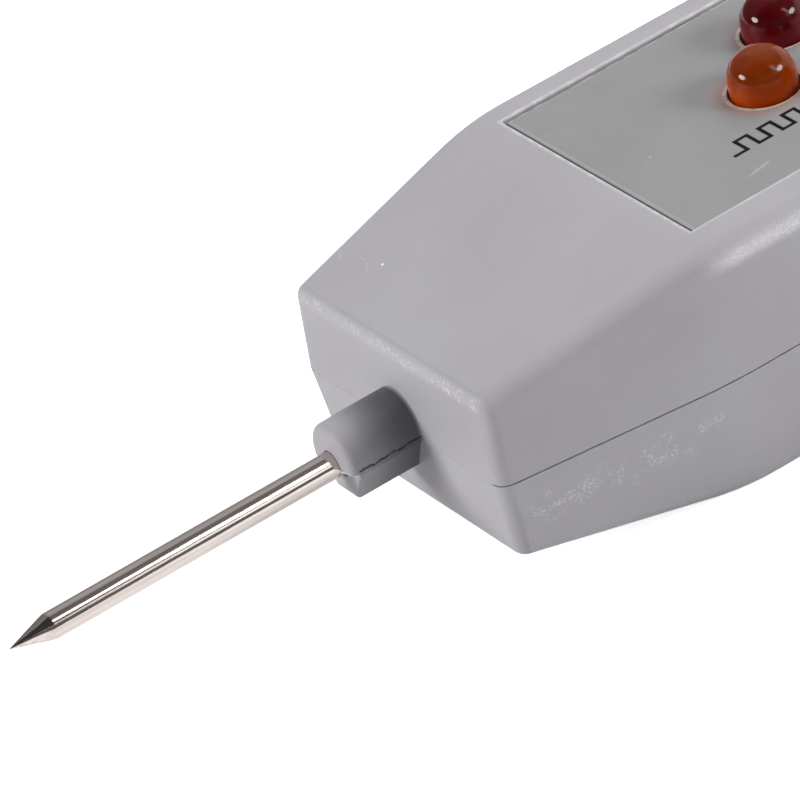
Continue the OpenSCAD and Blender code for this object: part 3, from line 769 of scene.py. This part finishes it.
# Floor and light
# A pale paper floor, with four soft lamps above it: beyond the nose, on the near side, overhead and
# to the rear. The floor and the even sky are white to the camera and pale in the metal.
white = (1.0, 1.0, 1.0, 1.0)
floor_drop = 0.02
floor_seen = 0.85
floor_mirrored = 0.4
bpy.ops.object.select_all(action="DESELECT")
bpy.ops.mesh.primitive_plane_add(size=8.0, location=(0.0, 0.0, -floor_drop * MM))
floor = bpy.context.active_object
floor.name = "floor"
bpy.ops.object.transform_apply(location=True)
floor_paper, tree, shader, _ = new_material("floor_paper", roughness=0.9)
shader.inputs["Base Color"].default_value = (0.82, 0.82, 0.82, 1.0)
shader.inputs["Emission Color"].default_value = white
rays = tree.nodes.new("ShaderNodeLightPath").outputs
mirrored = math_node(tree, "MAXIMUM", rays["Is Glossy Ray"], rays["Is Transmission Ray"])
glow = math_node(tree, "ADD", times(tree, rays["Is Camera Ray"], floor_seen),
                 times(tree, mirrored, floor_mirrored))
tree.links.new(glow, shader.inputs["Emission Strength"])
paint(floor, floor_paper)

sky_level = 0.03
world = bpy.data.worlds.new("studio")
bpy.context.scene.world = world
world.use_nodes = True
tree = world.node_tree
sky = tree.nodes["Background"]
sky.inputs["Color"].default_value = white
rays = tree.nodes.new("ShaderNodeLightPath").outputs
seen = math_node(tree, "MAXIMUM", rays["Is Camera Ray"], rays["Is Glossy Ray"])
seen = math_node(tree, "MAXIMUM", seen, rays["Is Transmission Ray"])
strength = math_node(tree, "ADD", sky_level, times(tree, seen, 1.0 - sky_level))
tree.links.new(strength, sky.inputs["Strength"])

aim = Vector((-0.03, 0.0, 0.012))
lamp_distance = 0.9
for name, direction, size, power, in_gloss in (
        ("nose_light", (-0.88, 0.26, 0.38), (0.4, 0.26), 5.5, True),
        ("near_light", (0.65, -0.61, 0.45), (0.4, 0.28), 4.6, True),
        ("top_light", (0.35, 0.0, 0.94), (0.7, 0.7), 2.8, False),
        ("back_light", (0.75, 0.35, 0.56), (0.6, 0.6), 3.3, False)):
    light = bpy.data.lights.new(name, "AREA")
    light.shape = "ELLIPSE"
    light.size, light.size_y = size
    light.energy = power
    lamp = bpy.data.objects.new(name, light)
    toward = Vector(direction).normalized()
    lamp.location = aim + toward * lamp_distance
    lamp.rotation_euler = toward.to_track_quat("Z", "Y").to_euler()
    lamp.visible_glossy = in_gloss
    bpy.context.scene.collection.objects.link(lamp)

# Studio cards
# Paper cards out of the picture that only shiny faces see, as streaks: two ceilings, cards on the near
# and far sides and before the nose, and a bright strip with a dimmer one below it.
shade_start = 0.1
shade_end = 0.6
strip_distance = 0.9


def studio_card(name, location, rotation, span, shades):
    bpy.ops.object.select_all(action="DESELECT")
    bpy.ops.mesh.primitive_plane_add(size=1.0, location=location, rotation=rotation)
    card = bpy.context.active_object
    card.name = name
    card.scale = (*span, 1.0)
    bpy.ops.object.transform_apply(location=True, rotation=True, scale=True)
    card_paper, tree, shader, place = new_material(name + "_paper", roughness=1.0)
    shader.inputs["Base Color"].default_value = (0.0, 0.0, 0.0, 1.0)
    shader.inputs["Specular IOR Level"].default_value = 0.0
    shader.inputs["Emission Color"].default_value = white
    front_shade, rear_shade = shades
    shader.inputs["Emission Strength"].default_value = front_shade
    if rear_shade != front_shade:
        to_rear = ramp(tree, axes_of(tree, place)[0], shade_start, shade_end)
        shade = math_node(tree, "ADD", front_shade, times(tree, to_rear, rear_shade - front_shade))
        tree.links.new(shade, shader.inputs["Emission Strength"])
    paint(card, card_paper)
    card.visible_camera = False
    card.visible_diffuse = False
    card.visible_shadow = False


upright = math.pi / 2
studio_card("ceiling_card", (0.0, 0.0, 1.6), (0, 0, 0), (6.0, 6.0), (0.05, 0.2))
studio_card("far_ceiling_card", (0.0, 1.5, 1.5), (0, 0, 0), (6.0, 2.3), (0.25, 0.5))
studio_card("near_card", (0.0, -2.6, 0.65), (upright, 0, 0), (6.0, 1.3), (0.16, 0.16))
studio_card("far_card", (0.0, 2.6, 0.8), (-upright, 0, 0), (6.0, 1.6), (0.2, 0.36))
studio_card("nose_card", (-2.6, 0.0, 0.8), (0, upright, 0), (1.6, 6.0), (0.1, 0.1))
for name, toward, span, level in (("strip_card", (0.39, -0.61, 0.69), (0.16, 0.56), 4.0),
                                  ("low_strip_card", (0.38, -0.803, 0.459), (0.2, 0.2), 1.6)):
    turn = Vector(toward).to_track_quat("Z", "Y").to_euler()
    studio_card(name, aim + Vector(toward) * strip_distance, turn, span, (level, level))

bpy.context.scene.view_settings.view_transform = "Standard"
